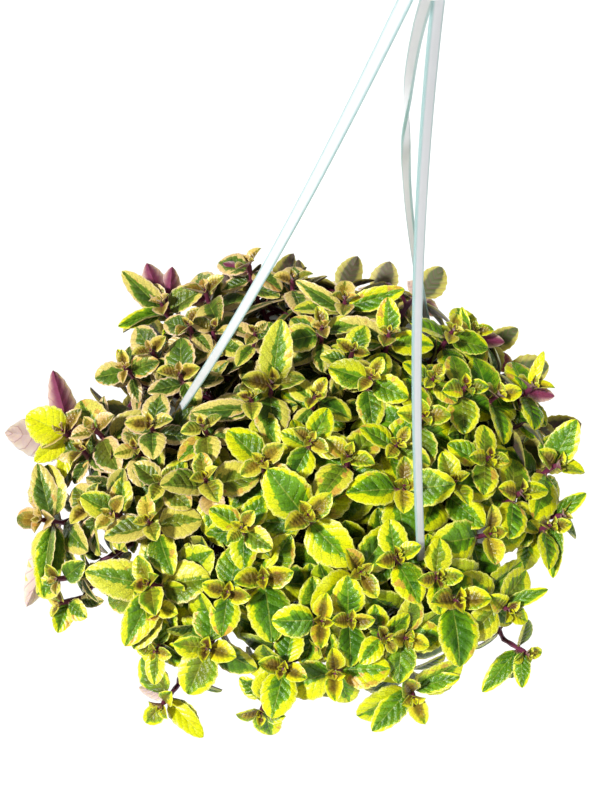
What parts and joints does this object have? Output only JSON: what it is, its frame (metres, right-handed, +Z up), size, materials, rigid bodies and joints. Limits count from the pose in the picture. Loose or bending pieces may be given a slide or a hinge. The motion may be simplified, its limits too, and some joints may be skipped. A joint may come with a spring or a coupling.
{
  "type": "speckled spurflower in hanging basket",
  "caption": "Hanging basket with a wide mound of variegated leafy stems rooted in potting mix, hung by flat straps from one hook.",
  "frame": {"origin": "the hook's bearing point, inside the top of its bend", "axes": "+Z up, +X to the viewer's right and +Y away from the viewer of the picture"},
  "size_m": [0.3987, 0.3901, 0.6422],
  "materials": {
    "leaf": "satin",
    "basket": "moulded, satin",
    "hanger": "moulded, glossy",
    "potting_mix": "matt, moist"
  },
  "bodies": {
    "root": {"basket": "basket", "potting_mix": "potting_mix", "hanger": "hanger", "shoot_01": "leaf", "shoot_02": "leaf", "shoot_03": "leaf", "shoot_04": "leaf", "shoot_05": "leaf", "shoot_06": "leaf", "shoot_07": "leaf", "shoot_08": "leaf", "shoot_09": "leaf", "shoot_10": "leaf", "shoot_11": "leaf", "shoot_12": "leaf", "shoot_13": "leaf", "shoot_14": "leaf", "shoot_15": "leaf", "shoot_16": "leaf", "shoot_17": "leaf", "shoot_18": "leaf", "shoot_19": "leaf", "shoot_20": "leaf", "shoot_21": "leaf", "shoot_22": "leaf", "shoot_23": "leaf", "shoot_24": "leaf", "shoot_25": "leaf", "shoot_26": "leaf", "shoot_27": "leaf", "shoot_28": "leaf", "shoot_29": "leaf", "shoot_30": "leaf", "shoot_31": "leaf", "shoot_32": "leaf", "shoot_33": "leaf", "shoot_34": "leaf", "shoot_35": "leaf", "shoot_36": "leaf", "shoot_37": "leaf", "shoot_38": "leaf", "shoot_39": "leaf", "shoot_40": "leaf", "shoot_41": "leaf", "shoot_42": "leaf", "shoot_43": "leaf", "shoot_44": "leaf", "shoot_45": "leaf", "shoot_46": "leaf", "shoot_47": "leaf", "shoot_48": "leaf", "shoot_49": "leaf", "shoot_50": "leaf", "shoot_51": "leaf", "shoot_52": "leaf", "shoot_53": "leaf", "shoot_54": "leaf", "shoot_55": "leaf"}
  },
  "joints": []
}
